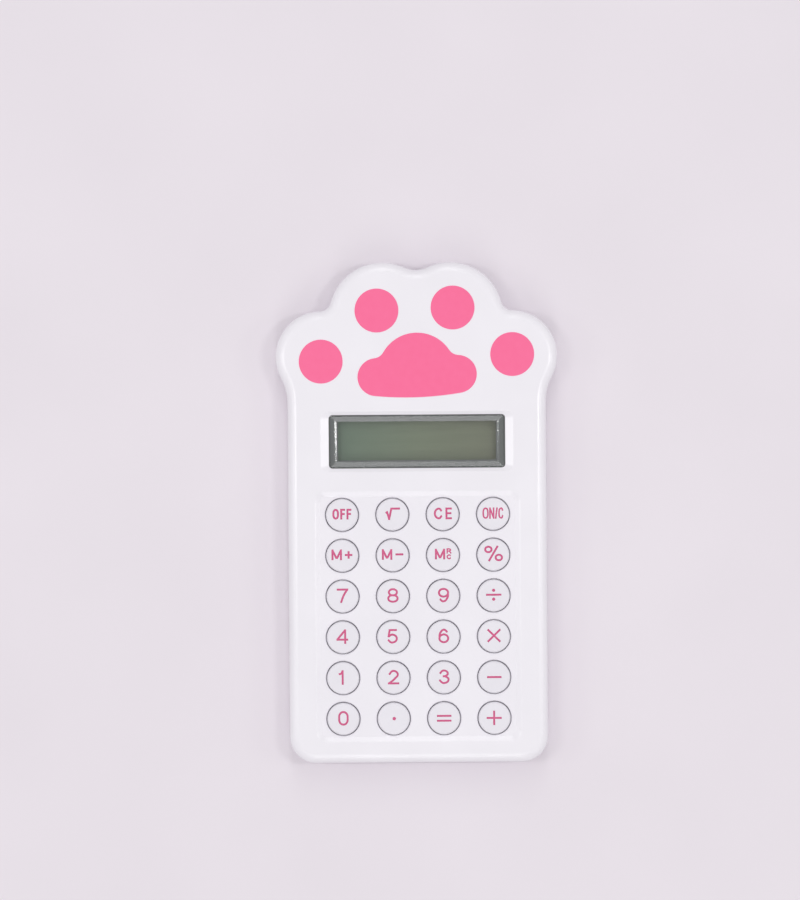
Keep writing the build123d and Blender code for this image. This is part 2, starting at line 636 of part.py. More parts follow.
def display_bezel():
    """The grey frame in the window: a rim, a pocket for the lens, and sides that slope to the glass."""
    middle = Pos(0, WINDOW_MID_Y)
    body = slab(middle * RectangleRounded(BEZEL_X, BEZEL_Y, WINDOW_CORNER), GLASS_STACK_TOP, BEZEL_TOP)
    flange = Pos(0, FRONT_GLASS_MID_Y) * Rectangle(GLASS_X, FRONT_GLASS_Y)
    body += slab(flange, GLASS_STACK_TOP, BEZEL_FLANGE_TOP)
    body -= slab(middle * Rectangle(POCKET_X, POCKET_Y), CEILING, BEZEL_TOP)
    upper_x = POCKET_X - 2 * BEZEL_LEDGE
    upper_y = POCKET_Y - 2 * BEZEL_LEDGE
    lower = Rectangle(upper_x - 2 * BEZEL_SLOPE_X, upper_y - 2 * BEZEL_SLOPE_Y)
    return body - funnel((0, WINDOW_MID_Y), lower, GLASS_STACK_TOP, Rectangle(upper_x, upper_y), CEILING)


def display_lens():
    """The clear plate in the bezel, with bevelled edges that round over into its crown."""
    lens_x = POCKET_X - 2 * LENS_FIT
    lens_y = POCKET_Y - 2 * LENS_FIT
    shoulder = BEZEL_TOP - LENS_SHOULDER_DROP
    top = shoulder + LENS_BEVEL_DEPTH
    full = Rectangle(lens_x, lens_y)
    crown = Rectangle(lens_x - 2 * LENS_BEVEL_X, lens_y - 2 * LENS_BEVEL_Y)
    plate = slab(Pos(0, WINDOW_MID_Y) * full, CEILING, shoulder)
    plate += funnel((0, WINDOW_MID_Y), full, shoulder, crown, top)
    return fillet(plate.faces().sort_by(Axis.Z)[-1].edges(), LENS_CROWN_ROUND)


def glass_plate(length, middle_y, top, thickness, border):
    """A flat rectangular layer of the display."""
    sheet = Pos(0, middle_y) * Rectangle(GLASS_X - 2 * border, length - 2 * border)
    return slab(sheet, top - thickness, top)


def zebra_strip():
    """Conductive rubber between the board and the ledge of the front glass."""
    y = WINDOW_MID_Y + REAR_GLASS_Y / 2 + GLASS_LEDGE / 2
    x = GLASS_X / 2 - ZEBRA_END_GAP
    return block((-x, x), (y - ZEBRA_WIDTH / 2, y + ZEBRA_WIDTH / 2), (BOARD_TOP, REAR_GLASS_TOP))


def foam_strip():
    """Foam between the board and the low edge of the display."""
    low = WINDOW_MID_Y - REAR_GLASS_Y / 2 + FILM_BORDER
    x = GLASS_X / 2 - ZEBRA_END_GAP
    return block((-x, x), (low, low + FOAM_WIDTH), (BOARD_TOP, REFLECTOR_FOOT))


def circuit_board():
    """The board, with a tongue that reaches up to the cell and bites for the case's bosses."""
    low = BASE_Y + SIDE_WALL + BOARD_GAP
    high = FRONT_GLASS_MID_Y + FRONT_GLASS_Y / 2 + BOARD_TOP_MARGIN
    heights = (BOARD_UNDERSIDE, BOARD_TOP)
    board = block((-BOARD_SIDE, BOARD_SIDE), (low, high), heights)
    board += block((-TONGUE_WIDTH / 2, TONGUE_WIDTH / 2), (high, TONGUE_TOP_Y), heights)
    bite = COLUMN_DIAMETER + 2 * BOARD_BOSS_GAP
    board -= [rod(place, bite, *heights) for place in CASE_SCREW_PLACES]
    board -= rod((0, CELL_Y), BOARD_HOLE_DIAMETER, *heights)
    screw_hole = BOARD_SCREW_DIAMETER + 2 * SCREW_HOLE_GAP
    return board - [rod(place, screw_hole, *heights) for place in BOARD_SCREW_PLACES]


def chip_blob():
    """The drop of epoxy over the chip, under the board behind the display."""
    ball_radius = cap_ball_radius(CHIP_DIAMETER / 2, CHIP_HEIGHT)
    ball = Pos(0, WINDOW_MID_Y, BOARD_UNDERSIDE - CHIP_HEIGHT + ball_radius) * Sphere(ball_radius)
    return ball & rod((0, WINDOW_MID_Y), CHIP_DIAMETER, BOARD_UNDERSIDE - CHIP_HEIGHT, BOARD_UNDERSIDE)


def chip_part(size, x):
    """A small square-ended component under the board, beside the chip."""
    length, width, height = size
    y_range = (WINDOW_MID_Y - width / 2, WINDOW_MID_Y + width / 2)
    return block((x - length / 2, x + length / 2), y_range, (BOARD_UNDERSIDE - height, BOARD_UNDERSIDE))


def key_contacts():
    """The printed carbon spots on the board, one under each key."""
    top = BOARD_TOP + CONTACT_THICKNESS
    diameter = HOLLOW_BASE - 2 * CONTACT_GAP
    return Compound([rod(place, diameter, BOARD_TOP, top).solid() for place in KEYS.values()])


def dome(place, base_diameter, top_diameter, foot, top):
    """A cone with its tip cut off, standing on its wide end."""
    height = top - foot
    cone = Cone(base_diameter / 2, top_diameter / 2, height, align=(Align.CENTER, Align.CENTER, Align.MIN))
    return Pos(place[0], place[1], foot) * cone


def key_mat():
    """The rubber sheet on the board, with a hollow dome under each key."""
    sheet_x = 2 * (SCREW_X - COLUMN_DIAMETER / 2 - MAT_COLUMN_GAP)
    sheet_y = KEY_BLOCK_Y + DOME_BASE_DIAMETER + 2 * MAT_MARGIN
    web_top = BOARD_TOP + MAT_THICKNESS
    mat = slab(Pos(0, KEYPAD_Y) * Rectangle(sheet_x, sheet_y), BOARD_TOP, web_top)
    mat += [dome(place, DOME_BASE_DIAMETER, DOME_TOP_DIAMETER, web_top, DOME_TOP) for place in KEYS.values()]
    hollows = [dome(place, HOLLOW_BASE, HOLLOW_TOP, BOARD_TOP, PILL_TOP) for place in KEYS.values()]
    return mat - hollows


def contact_pills():
    """The carbon pills on the roofs of the domes."""
    diameter = HOLLOW_TOP - 2 * PILL_GAP
    return Compound([rod(place, diameter, PILL_FOOT, PILL_TOP).solid() for place in KEYS.values()])


def button_cell():
    """The cell: a steel can with a narrower cap on its upper side."""
    shoulder = CELL_TOP - CELL_CAP_HEIGHT
    can = rod((0, CELL_Y), CELL_DIAMETER, CELL_FOOT, shoulder)
    return can + rod((0, CELL_Y), CELL_CAP_DIAMETER, shoulder, CELL_TOP)


def negative_contact():
    """A spring strip across the hole in the board, with a dimple that presses on the cell's cap."""
    x = BOARD_HOLE_DIAMETER / 2 + CONTACT_OVERLAP
    y_range = (CELL_Y - CONTACT_WIDTH / 2, CELL_Y + CONTACT_WIDTH / 2)
    strip = block((-x, x), y_range, (BOARD_TOP, BOARD_TOP + CONTACT_SHEET))
    tip = CELL_TOP + DIMPLE_GAP
    return strip + dome((0, CELL_Y), DIMPLE_TIP_DIAMETER, DIMPLE_TOP_DIAMETER, tip, BOARD_TOP)


def positive_contact():
    """A bent strip under the board that touches the side of the cell's can."""
    x_range = (-CONTACT_WIDTH / 2, CONTACT_WIDTH / 2)
    face = CELL_Y - CELL_DIAMETER / 2 - DIMPLE_GAP
    tab = block(x_range, (face - CONTACT_SHEET, face), (BACK_WALL + POSITIVE_TAB_RISE, BOARD_UNDERSIDE))
    foot_range = (face - POSITIVE_FOOT_LENGTH, face)
    return tab + block(x_range, foot_range, (BOARD_UNDERSIDE - CONTACT_SHEET, BOARD_UNDERSIDE))


def screw(place, seat, head_diameter, head_height, diameter):
    """A screw driven in from the back, with a cross in its head."""
    head_foot = seat - head_height
    body = rod(place, head_diameter, head_foot, seat) + rod(place, diameter, seat, SCREW_TIP)
    span = head_diameter * CROSS_SPAN
    cross = Rectangle(span, CROSS_WIDTH) + Rectangle(CROSS_WIDTH, span)
    return body - slab(Pos(*place) * cross, head_foot, head_foot + CROSS_DEPTH)


def case_screws():
    """The screws that close the case."""
    head = (CASE_SCREW_HEAD_DIAMETER, CASE_SCREW_HEAD_HEIGHT, CASE_SCREW_DIAMETER)
    return Compound([screw(place, CASE_SCREW_SEAT, *head).solid() for place in CASE_SCREW_PLACES])


def board_screws():
    """The screws that hold the board against the front's bosses."""
    head = (BOARD_SCREW_HEAD_DIAMETER, BOARD_SCREW_HEAD_HEIGHT, BOARD_SCREW_DIAMETER)
    return Compound([screw(place, BOARD_UNDERSIDE, *head).solid() for place in BOARD_SCREW_PLACES])


def pieces():
    """Every piece by its name."""
    parts = {f"key_{name}": key_cap(place) for name, place in KEYS.items()}
    parts["front_case"] = front_case()
    parts["back_case"] = back_case()
    parts["paw_print"] = paw_print()
    parts["display_bezel"] = display_bezel()
    parts["display_lens"] = display_lens()
    parts["lcd_front_polariser"] = glass_plate(
        REAR_GLASS_Y, WINDOW_MID_Y, GLASS_STACK_TOP, FILM_THICKNESS, FILM_BORDER
    )
    parts["lcd_front_glass"] = glass_plate(
        FRONT_GLASS_Y, FRONT_GLASS_MID_Y, FRONT_GLASS_TOP, GLASS_THICKNESS, 0
    )
    parts["lcd_rear_glass"] = glass_plate(REAR_GLASS_Y, WINDOW_MID_Y, REAR_GLASS_TOP, GLASS_THICKNESS, 0)
    parts["lcd_reflector"] = glass_plate(
        REAR_GLASS_Y, WINDOW_MID_Y, REFLECTOR_TOP, FILM_THICKNESS, FILM_BORDER
    )
    parts["zebra_strip"] = zebra_strip()
    parts["lcd_foam_strip"] = foam_strip()
    parts["circuit_board"] = circuit_board()
    parts["chip_blob"] = chip_blob()
    parts["supply_capacitor"] = chip_part(CAPACITOR_SIZE, CAPACITOR_FROM_CHIP)
    parts["clock_resistor"] = chip_part(RESISTOR_SIZE, -RESISTOR_FROM_CHIP)
    parts["key_contacts"] = key_contacts()
    parts["key_mat"] = key_mat()
    parts["contact_pills"] = contact_pills()
    parts["button_cell"] = button_cell()
    parts["positive_contact"] = positive_contact()
    parts["negative_contact"] = negative_contact()
    parts["battery_door"] = battery_door()
    parts["case_screws"] = case_screws()
    parts["board_screws"] = board_screws()
    return parts


os.makedirs("parts", exist_ok=True)
for piece_name, piece in pieces().items():
    export_step(piece, f"parts/{piece_name}.step")
print(f"{LENGTH:.2f} long, {2 * (SIDE_LOBE.X + SIDE_LOBE_RADIUS):.2f} wide, {KEY_TOP:.2f} thick")
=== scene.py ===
# %% [markdown]
# # A pocket calculator in the shape of a paw
# This lesson dresses a finished CAD model. Every solid already sits in its place, in metres, lying on its
# back with the face up (+Z) and the toes away from the reader (+Y). What is left for Blender is the
# looks: the finish of each plastic, ink, film and metal, the rubber that gives way under the keys, the
# legends printed on them, and then a plain stage with light and a camera.

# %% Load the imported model
from math import radians

import bmesh
import bpy
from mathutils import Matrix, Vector


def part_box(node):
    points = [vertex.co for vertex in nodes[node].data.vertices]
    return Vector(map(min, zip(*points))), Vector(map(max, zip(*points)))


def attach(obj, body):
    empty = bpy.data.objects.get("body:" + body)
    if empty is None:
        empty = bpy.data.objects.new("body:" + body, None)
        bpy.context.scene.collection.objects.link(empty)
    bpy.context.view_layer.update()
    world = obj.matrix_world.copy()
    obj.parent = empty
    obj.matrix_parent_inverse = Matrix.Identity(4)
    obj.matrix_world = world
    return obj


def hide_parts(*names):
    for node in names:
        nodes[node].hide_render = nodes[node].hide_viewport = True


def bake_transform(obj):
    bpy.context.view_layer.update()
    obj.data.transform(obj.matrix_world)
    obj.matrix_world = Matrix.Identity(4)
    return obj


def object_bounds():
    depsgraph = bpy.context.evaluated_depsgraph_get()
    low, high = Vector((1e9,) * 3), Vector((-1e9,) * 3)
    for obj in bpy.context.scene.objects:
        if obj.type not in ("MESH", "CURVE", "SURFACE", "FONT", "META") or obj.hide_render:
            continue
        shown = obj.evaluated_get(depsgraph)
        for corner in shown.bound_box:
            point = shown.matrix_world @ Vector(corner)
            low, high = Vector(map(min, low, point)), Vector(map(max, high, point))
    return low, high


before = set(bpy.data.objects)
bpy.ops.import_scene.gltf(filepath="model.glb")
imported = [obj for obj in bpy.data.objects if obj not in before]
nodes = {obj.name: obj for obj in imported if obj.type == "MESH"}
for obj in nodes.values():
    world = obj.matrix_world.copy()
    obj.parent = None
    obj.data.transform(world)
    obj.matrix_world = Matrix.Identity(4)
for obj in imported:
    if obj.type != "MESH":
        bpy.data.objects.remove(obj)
cad_low, cad_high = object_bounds()
MM = 0.001
print("pieces:", len(nodes), "- size in mm:", [round(side / MM, 2) for side in cad_high - cad_low])

# %% [markdown]
# ## Helpers that the finishes share
# A moulded surface is never one flat colour: its tone drifts a little, its gloss is patchy, and it
# carries the fine grain of the mould. Image textures could show that, but noise needs no files and no
# unwrapping, and it stays sharp at any distance. The noise is read in object coordinates, which are
# metres here, so the size of a grain can be given as a real length. Colours are given as a screen shows
# them, from 0 to 255. One recipe then mixes drift, gloss and grain, and each finish below says only how
# much of each it has.

# %% Colour and noise helpers
def tone(*screen_values):
    """A colour as the shaders want it, from the three values that a screen shows."""
    shares = [value / 255 for value in screen_values]
    return [share / 12.92 if share <= 0.04045 else ((share + 0.055) / 1.055) ** 2.4 for share in shares]


def new_finish(name):
    """A new material, and the Principled shader in it."""
    material = bpy.data.materials.new(name)
    material.use_nodes = True
    return material, material.node_tree.nodes["Principled BSDF"]


EVEN = (1, 1, 1)


def noise(material, grain, stretch=EVEN):
    """Soft blobs about as wide as grain, in metres; stretch draws them out along an axis."""
    tree = material.node_tree
    place = tree.nodes.new("ShaderNodeTexCoord")
    mapping = tree.nodes.new("ShaderNodeMapping")
    blobs = tree.nodes.new("ShaderNodeTexNoise")
    mapping.inputs["Scale"].default_value = [1 / share for share in stretch]
    blobs.inputs["Scale"].default_value = 1 / grain
    tree.links.new(place.outputs["Object"], mapping.inputs["Vector"])
    tree.links.new(mapping.outputs["Vector"], blobs.inputs["Vector"])
    return blobs.outputs["Fac"]


# %% Helpers that drive one socket each
NOISE_LOW = 0.3
NOISE_HIGH = 0.7


def drift_colour(material, source, first, second):
    """The base colour wanders between two close tones."""
    tree = material.node_tree
    ramp = tree.nodes.new("ShaderNodeValToRGB")
    for element, place, colour in zip(ramp.color_ramp.elements, (NOISE_LOW, NOISE_HIGH), (first, second)):
        element.position = place
        element.color = (*colour, 1)
    tree.links.new(source, ramp.inputs["Fac"])
    tree.links.new(ramp.outputs["Color"], tree.nodes["Principled BSDF"].inputs["Base Color"])


def vary_gloss(material, source, smoothest, roughest):
    """The roughness wanders between two values."""
    tree = material.node_tree
    spread = tree.nodes.new("ShaderNodeMapRange")
    spread.inputs["From Min"].default_value = NOISE_LOW
    spread.inputs["From Max"].default_value = NOISE_HIGH
    spread.inputs["To Min"].default_value = smoothest
    spread.inputs["To Max"].default_value = roughest
    tree.links.new(source, spread.inputs["Value"])
    tree.links.new(spread.outputs["Result"], tree.nodes["Principled BSDF"].inputs["Roughness"])


def raise_grain(material, source, height):
    """Grain that stands up by height, in metres, for the light to catch."""
    tree = material.node_tree
    bump = tree.nodes.new("ShaderNodeBump")
    bump.inputs["Distance"].default_value = height
    tree.links.new(source, bump.inputs["Height"])
    tree.links.new(bump.outputs["Normal"], tree.nodes["Principled BSDF"].inputs["Normal"])


# %% The recipe, and putting a finish on
PLASTIC_IOR = 1.5
INK_IOR = 1.45


def mix_finish(name, tones, drift, gloss, patch, grain=None, height=None, ior=PLASTIC_IOR, streak=EVEN):
    """A finish with a drift of tone and a patchy gloss, and a grain if it has one; lengths in metres."""
    material, shader = new_finish(name)
    shader.inputs["IOR"].default_value = ior
    drift_colour(material, noise(material, drift), *tones)
    vary_gloss(material, noise(material, patch, streak), *gloss)
    if grain:
        raise_grain(material, noise(material, grain, streak), height)
    return material


def give_finish(material, *names):
    """The material goes on these CAD pieces."""
    for name in names:
        for place in nodes[name].material_slots:
            place.material = material
    print(material.name, "on", len(names), "pieces")


# %% [markdown]
# ## White case
# The two shells and the battery door are moulded in white plastic with a breath of lilac in it. Such a
# case is polished in the mould, but not to a mirror: it shows soft highlights along its rounded edges.
# One finish for all three keeps them one product, and the drift of tone is so weak that it is felt rather
# than seen.

# %% White plastic of the case
case_plastic = mix_finish(
    "white_case_plastic",
    tones=(tone(240, 237, 243), tone(243, 240, 246)),
    drift=14 * MM,
    gloss=(0.22, 0.26),
    patch=5 * MM,
    grain=0.25 * MM,
    height=0.002 * MM,
)
give_finish(case_plastic, "front_case", "back_case", "battery_door")

# %% [markdown]
# ## Keys
# The keys come from another mould than the case. They are a hair darker, and satin, so that a finger
# doesn't slip: a finer, higher grain and a rougher shader do that.

# %% Satin plastic of the keys
NOT_KEYS = ("key_mat", "key_contacts")
KEY_NODES = sorted(name for name in nodes if name.startswith("key_") and name not in NOT_KEYS)

key_plastic = mix_finish(
    "satin_key_plastic",
    tones=(tone(232, 229, 236), tone(235, 232, 239)),
    drift=6 * MM,
    gloss=(0.38, 0.48),
    patch=2 * MM,
    grain=0.15 * MM,
    height=0.003 * MM,
)
give_finish(key_plastic, *KEY_NODES)

# %% [markdown]
# ## Pink ink
# The paw print and the legends are pad-printed: a soft pad picks the ink up from a plate and stamps it
# on. The film is thinner than a hair and a little uneven, so its tone is mottled and its gloss is lower
# than the plastic's. The paw print is a CAD piece of its own already. The legends on the keys are stamped
# with a deeper pink, so the recipe takes the two tones that it wanders between.

# %% Pink inks
def pink_ink(name, *tones):
    """Pad-printed ink with a mottled film."""
    return mix_finish(
        name,
        tones=tones,
        drift=1.6 * MM,
        gloss=(0.42, 0.56),
        patch=0.8 * MM,
        grain=0.2 * MM,
        height=0.004 * MM,
        ior=INK_IOR,
    )


give_finish(pink_ink("pink_paw_ink", tone(250, 107, 154), tone(251, 110, 157)), "paw_print")
LEGEND_INK = pink_ink("deep_pink_legend_ink", tone(210, 88, 134), tone(214, 94, 140))

# %% [markdown]
# ## Display frame and lens
# A smoked grey frame lies in the window, with a clear plate in it whose edges are bevelled. Only the
# frame's thin rim shows. It is a polished plastic. The plate could be real glass with refraction, but a
# plate this thin hardly bends the view, so it is a transparent shader under a mirror that grows towards
# grazing angles. The Fresnel node would do for a single face. On the far face of a plate that doesn't
# bend light it sees total reflection, which hides what lies behind, so Schlick's formula does the same
# from the Facing output: a few percent head on, and everything at the edge.

# %% Grey frame
frame_plastic = mix_finish(
    "smoked_grey_plastic",
    tones=(tone(100, 103, 102), tone(106, 109, 108)),
    drift=4 * MM,
    gloss=(0.14, 0.22),
    patch=1.5 * MM,
    grain=0.3 * MM,
    height=0.001 * MM,
)
give_finish(frame_plastic, "display_bezel")

# %% Clear lens
SCHLICK_POWER = 5
HEAD_ON_MIRROR = 0.04
LENS_TINT = (0.97, 0.985, 0.975, 1)
LENS_ROUGHNESS = 0.06


def clear_acrylic():
    """A clear plate: what lies behind shows through, under a faint reflection."""
    material, principled = new_finish("clear_acrylic")
    tree = material.node_tree
    tree.nodes.remove(principled)
    clear = tree.nodes.new("ShaderNodeBsdfTransparent")
    mirror = tree.nodes.new("ShaderNodeBsdfGlossy")
    facing = tree.nodes.new("ShaderNodeLayerWeight")
    steep = tree.nodes.new("ShaderNodeMath")
    schlick = tree.nodes.new("ShaderNodeMapRange")
    share = tree.nodes.new("ShaderNodeMixShader")
    clear.inputs["Color"].default_value = LENS_TINT
    mirror.inputs["Roughness"].default_value = LENS_ROUGHNESS
    steep.operation = "POWER"
    steep.inputs[1].default_value = SCHLICK_POWER
    schlick.inputs["To Min"].default_value = HEAD_ON_MIRROR
    tree.links.new(facing.outputs["Facing"], steep.inputs[0])
    tree.links.new(steep.outputs["Value"], schlick.inputs["Value"])
    tree.links.new(schlick.outputs["Result"], share.inputs["Fac"])
    tree.links.new(clear.outputs["BSDF"], share.inputs[1])
    tree.links.new(mirror.outputs["BSDF"], share.inputs[2])
    tree.links.new(share.outputs["Shader"], tree.nodes["Material Output"].inputs["Surface"])
    return material


give_finish(clear_acrylic(), "display_lens")

# %% [markdown]
# ## Border behind the bevels
# The plate's bevels are painted grey from behind, all round, so that nobody looks past the display into
# the case. The light that the bevels mirror lies over that grey. The border is a film of screen-printed
# ink, made from one ring with mitred corners that climbs under the bevels.

# %% Ring under the bevels
BORDER_SIDE = 1.85 * MM
BORDER_FOOT = 1.55 * MM
BORDER_HEAD = 1.2 * MM
BEVEL_DEPTH = 0.4 * MM
BORDER_DROP = 0.12 * MM
BORDER_FILM = 0.02 * MM


def border_ring(low, high):
    """A ring just under the bevels of the plate, a little wider than they are."""
    form = bmesh.new()
    crest = high.z - BORDER_DROP
    left, right = low.x + BORDER_SIDE, high.x - BORDER_SIDE
    foot, head = low.y + BORDER_FOOT, high.y - BORDER_HEAD
    edge_corners = [(low.x, low.y), (high.x, low.y), (high.x, high.y), (low.x, high.y)]
    view_corners = [(left, foot), (right, foot), (right, head), (left, head)]
    outer = [form.verts.new((x, y, crest - BEVEL_DEPTH)) for x, y in edge_corners]
    inner = [form.verts.new((x, y, crest)) for x, y in view_corners]
    sides = [form.faces.new((outer[k - 1], outer[k], inner[k], inner[k - 1])) for k in range(4)]
    raised = bmesh.ops.extrude_face_region(form, geom=sides)["geom"]
    lifted = [item for item in raised if isinstance(item, bmesh.types.BMVert)]
    bmesh.ops.translate(form, verts=lifted, vec=(0, 0, BORDER_FILM))
    bmesh.ops.recalc_face_normals(form, faces=form.faces)
    mesh = bpy.data.meshes.new("display_border")
    form.to_mesh(mesh)
    form.free()
    return mesh


# %% Grey ink, and the border in its place
grey_ink = mix_finish(
    "grey_border_ink",
    tones=(tone(94, 97, 97), tone(99, 102, 102)),
    drift=2 * MM,
    gloss=(0.5, 0.6),
    patch=0.4 * MM,
    ior=INK_IOR,
)
workbench = bpy.context.scene.collection
border_mesh = border_ring(*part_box("display_lens"))
border_mesh.materials.append(grey_ink)
border = bpy.data.objects.new("display_border", border_mesh)
workbench.objects.link(border)
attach(border, "calculator")
print("border:", len(border_mesh.polygons), "faces")

# %% [markdown]
# ## Display film
# Switched off, the display is a grey-green film with a faint lengthwise brushing. Across the window its
# tone goes from a cool green on the left to olive on the right. A ramp along X gives that, and noise
# drawn out along X gives the brushing.

# %% Grey-green film
FILM_TONES = (tone(94, 116, 99), tone(111, 120, 98), tone(111, 112, 92))
MIDDLE = 0.5


def display_film():
    """Grey-green film: a slow change of tone from left to right, under lengthwise streaks."""
    material, _ = new_finish("display_film")
    tree = material.node_tree
    low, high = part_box("lcd_front_polariser")
    place = tree.nodes.new("ShaderNodeTexCoord")
    along = tree.nodes.new("ShaderNodeSeparateXYZ")
    share = tree.nodes.new("ShaderNodeMapRange")
    share.inputs["From Min"].default_value = low.x
    share.inputs["From Max"].default_value = high.x
    ramp = tree.nodes.new("ShaderNodeValToRGB").color_ramp
    ramp.elements.new(MIDDLE)
    for element, colour in zip(ramp.elements, FILM_TONES):
        element.color = (*colour, 1)
    tree.links.new(place.outputs["Object"], along.inputs["Vector"])
    tree.links.new(along.outputs["X"], share.inputs["Value"])
    return material, share.outputs["Result"]


film, film_share = display_film()


# %% Streaks on the film
STREAK_WIDTH = 0.9 * MM
LENGTHWISE = (14, 1, 1)
STREAK_STRENGTH = 0.12
FILM_GLOSS = (0.3, 0.42)


def streak_film(material, share):
    """The ramp's tone, lightened and darkened a little by streaks."""
    tree = material.node_tree
    shader = tree.nodes["Principled BSDF"]
    ramp = tree.nodes["Color Ramp"]
    streaks = noise(material, STREAK_WIDTH, stretch=LENGTHWISE)
    mix = tree.nodes.new("ShaderNodeMix")
    mix.data_type = "RGBA"
    mix.blend_type = "OVERLAY"
    mix.inputs["Factor"].default_value = STREAK_STRENGTH
    tree.links.new(share, ramp.inputs["Fac"])
    tree.links.new(ramp.outputs["Color"], mix.inputs["A"])
    tree.links.new(streaks, mix.inputs["B"])
    tree.links.new(mix.outputs["Result"], shader.inputs["Base Color"])
    vary_gloss(material, streaks, *FILM_GLOSS)


streak_film(film, film_share)
give_finish(film, "lcd_front_polariser", "lcd_reflector")

# %% [markdown]
# ## Metal
# The back is closed by six small screws, and the cell and its contacts are plated metal too. Plating is a
# metal shader with a slight haze, streaked by the rolling or turning of the steel.

# %% Plated metal
def plated_metal(name, *tones, streak):
    """Plated steel with a streaky haze."""
    material = mix_finish(
        name,
        tones=tones,
        drift=1.5 * MM,
        gloss=(0.24, 0.38),
        patch=0.3 * MM,
        grain=0.2 * MM,
        height=0.002 * MM,
        streak=streak,
    )
    material.node_tree.nodes["Principled BSDF"].inputs["Metallic"].default_value = 1
    return material


zinc_plate = plated_metal("zinc_plate", tone(186, 188, 190), tone(204, 205, 206), streak=(4, 1, 1))
cell_steel = plated_metal("cell_steel", tone(200, 199, 196), tone(214, 213, 210), streak=(1, 6, 1))
spring_strip = plated_metal("spring_strip", tone(196, 190, 172), tone(212, 206, 188), streak=(6, 1, 1))
give_finish(zinc_plate, "case_screws", "board_screws")
give_finish(cell_steel, "button_cell")
give_finish(spring_strip, "positive_contact", "negative_contact")

# %% [markdown]
# ## Pieces inside
# The board, the rubber mat and the rest sit inside the closed case. They show only when somebody takes it
# apart, so one plain recipe serves them all: two close tones, a gloss, and the size of the grain.

# %% Finishes inside
INNER_FINISHES = {
    "brown_laminate": (("circuit_board",), tone(142, 104, 62), tone(156, 116, 72), 0.45, 0.6 * MM),
    "drop_of_epoxy": (("chip_blob",), tone(24, 24, 26), tone(34, 34, 36), 0.22, 2 * MM),
    "fired_ceramic": (
        ("supply_capacitor", "clock_resistor"), tone(88, 78, 66), tone(104, 92, 78), 0.5, 0.3 * MM
    ),
    "printed_carbon": (("key_contacts",), tone(30, 30, 31), tone(42, 42, 43), 0.6, 0.2 * MM),
    "carbon_rubber": (("contact_pills",), tone(26, 26, 27), tone(36, 36, 37), 0.7, 0.3 * MM),
    "grey_silicone": (("key_mat",), tone(198, 201, 204), tone(208, 211, 214), 0.55, 1.2 * MM),
    "striped_rubber": (("zebra_strip",), tone(90, 84, 82), tone(206, 170, 168), 0.6, 0.12 * MM),
    "black_foam": (("lcd_foam_strip",), tone(28, 28, 29), tone(48, 48, 49), 0.9, 0.25 * MM),
    "display_glass": (
        ("lcd_front_glass", "lcd_rear_glass"), tone(196, 206, 198), tone(202, 211, 204), 0.06, 8 * MM
    ),
}
GLOSS_SPREAD = 0.04

for finish_name, (pieces, first_tone, second_tone, gloss, grain) in INNER_FINISHES.items():
    inner = mix_finish(
        finish_name,
        tones=(first_tone, second_tone),
        drift=grain,
        gloss=(gloss - GLOSS_SPREAD, gloss + GLOSS_SPREAD),
        patch=2 * grain,
    )
    give_finish(inner, *pieces)

# %% [markdown]
# ## Domes that give way
# Under each key the rubber mat has a dome, and a carbon pill sits under the dome's roof. As a key goes
# down, the roof and the pill go with it, the wall buckles, and the foot stays on the board. One piece
# can't do that for every key, so the mat is cut into tiles, one for each key. The pills ride on the
# keys. A fully pressed pill lands on the printed contacts, so its foot is cut a hair short and meets them
# without cutting in.

# %% Cutting tools
TOUCH = 1e-7
SHARP = radians(30)


def welded(node):
    """A working copy of a CAD piece's mesh, with its corners joined."""
    form = bmesh.new()
    form.from_mesh(nodes[node].data)
    bmesh.ops.remove_doubles(form, verts=form.verts, dist=TOUCH)
    return form


def cut_off(form, place, outward):
    """What lies beyond a plane goes, and the cut is closed."""
    everything = [*form.verts, *form.edges, *form.faces]
    cut = bmesh.ops.bisect_plane(
        form, geom=everything, dist=TOUCH, plane_co=place, plane_no=outward.normalized(), clear_outer=True
    )
    rim = [item for item in cut["geom_cut"] if isinstance(item, bmesh.types.BMEdge)]
    bmesh.ops.edgeloop_fill(form, edges=rim)


def cut_piece(form, name, node):
    """A new piece, in the finish of the CAD piece that it was cut from."""
    bmesh.ops.recalc_face_normals(form, faces=form.faces)
    mesh = bpy.data.meshes.new(name)
    form.to_mesh(mesh)
    form.free()
    mesh.materials.append(nodes[node].material_slots[0].material)
    mesh.set_sharp_from_angle(angle=SHARP)
    piece = bpy.data.objects.new(name, mesh)
    workbench.objects.link(piece)
    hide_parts(node)
    return piece


# %% A dome and a pill for each key
PILL_HAIR = 0.01 * MM
KEY_PLACES = {key: sum(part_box(key), Vector()) / 2 for key in KEY_NODES}
COLUMN_STEP = KEY_PLACES["key_8"].x - KEY_PLACES["key_7"].x
ROW_STEP = KEY_PLACES["key_8"].y - KEY_PLACES["key_5"].y
STEPS = [
    Vector((-COLUMN_STEP, 0, 0)),
    Vector((COLUMN_STEP, 0, 0)),
    Vector((0, -ROW_STEP, 0)),
    Vector((0, ROW_STEP, 0)),
]


def has_key(place):
    """Whether a key stands there."""
    return any((place - other).xy.length < MM for other in KEY_PLACES.values())


def mat_tile(key, place):
    """The part of the mat under one key."""
    form = welded("key_mat")
    for step in STEPS:
        if has_key(place + step):
            cut_off(form, place + step / 2, step)
    return cut_piece(form, key.replace("key", "dome", 1), "key_mat")


